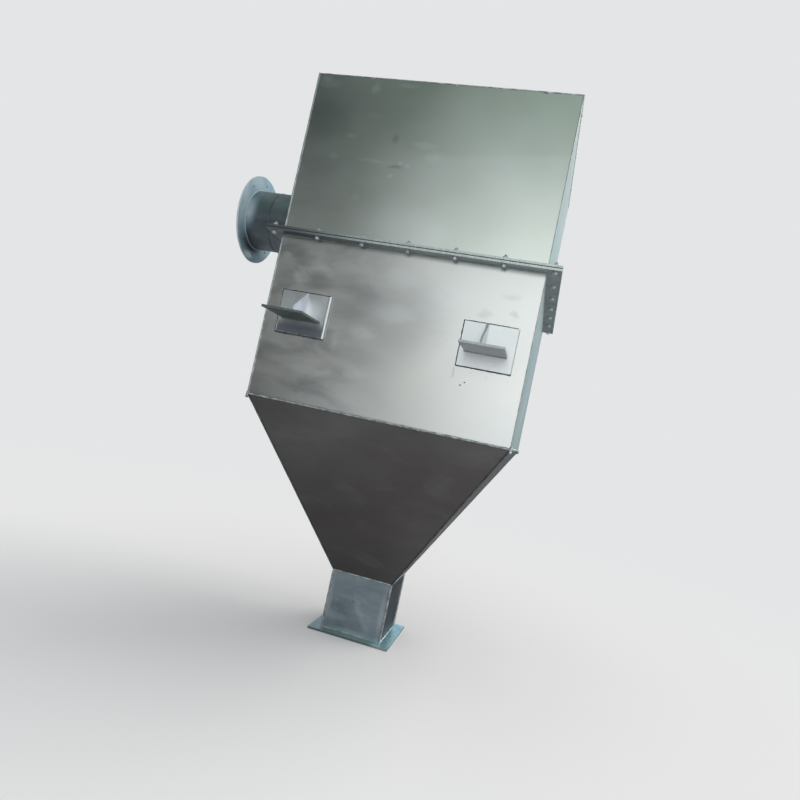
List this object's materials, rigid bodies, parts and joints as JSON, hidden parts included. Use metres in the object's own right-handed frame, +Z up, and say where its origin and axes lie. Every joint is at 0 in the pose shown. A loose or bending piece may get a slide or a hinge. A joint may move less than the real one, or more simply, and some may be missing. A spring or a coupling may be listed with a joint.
{
  "type": "box separator with pyramid hopper",
  "caption": "Square stainless-steel separator housing in bolted tiers, with a round side inlet, support lugs, a pyramid hopper and a square flanged discharge spout.",
  "frame": {"origin": "centre of the discharge spout flange's underside, the face that the housing stands on", "axes": "+Z up through the housing; -Y is the front with the two lugs seen in the picture; -X is the side with the round inlet"},
  "size_m": [1.448, 1.382, 2.249],
  "materials": {
    "housing_sheet": "satin mill finish with faint smudges",
    "hopper_sheet": "satin mill finish",
    "duct_sheet": "satin rolled sheet",
    "flange_plate": "bright cut plate",
    "lug_plate": "bright cut plate",
    "gasket_sheet": "matt"
  },
  "bodies": {
    "root": {"roof": "housing_sheet", "outlet_stub": "duct_sheet", "outlet_flange": "flange_plate", "upper_front": "housing_sheet", "upper_back": "housing_sheet", "upper_left": "housing_sheet", "upper_right": "housing_sheet", "upper_flange_front": "flange_plate", "upper_flange_back": "flange_plate", "upper_flange_left": "flange_plate", "upper_flange_right": "flange_plate", "joint_gasket": "gasket_sheet", "lower_flange_front": "flange_plate", "lower_flange_back": "flange_plate", "lower_flange_left": "flange_plate", "lower_flange_right": "flange_plate", "lower_front": "housing_sheet", "lower_back": "housing_sheet", "lower_left": "housing_sheet", "lower_right": "housing_sheet", "inlet_stub": "duct_sheet", "inlet_flange": "flange_plate", "hopper_front": "hopper_sheet", "hopper_back": "hopper_sheet", "hopper_left": "hopper_sheet", "hopper_right": "hopper_sheet", "spout_front": "hopper_sheet", "spout_back": "hopper_sheet", "spout_left": "hopper_sheet", "spout_right": "hopper_sheet", "spout_flange": "flange_plate", "lug_pad_front_left": "lug_plate", "lug_shelf_front_left": "lug_plate", "lug_gusset_front_left": "lug_plate", "lug_pad_front_right": "lug_plate", "lug_shelf_front_right": "lug_plate", "lug_gusset_front_right": "lug_plate", "lug_pad_back_left": "lug_plate", "lug_shelf_back_left": "lug_plate", "lug_gusset_back_left": "lug_plate", "lug_pad_back_right": "lug_plate", "lug_shelf_back_right": "lug_plate", "lug_gusset_back_right": "lug_plate"}
  },
  "joints": []
}
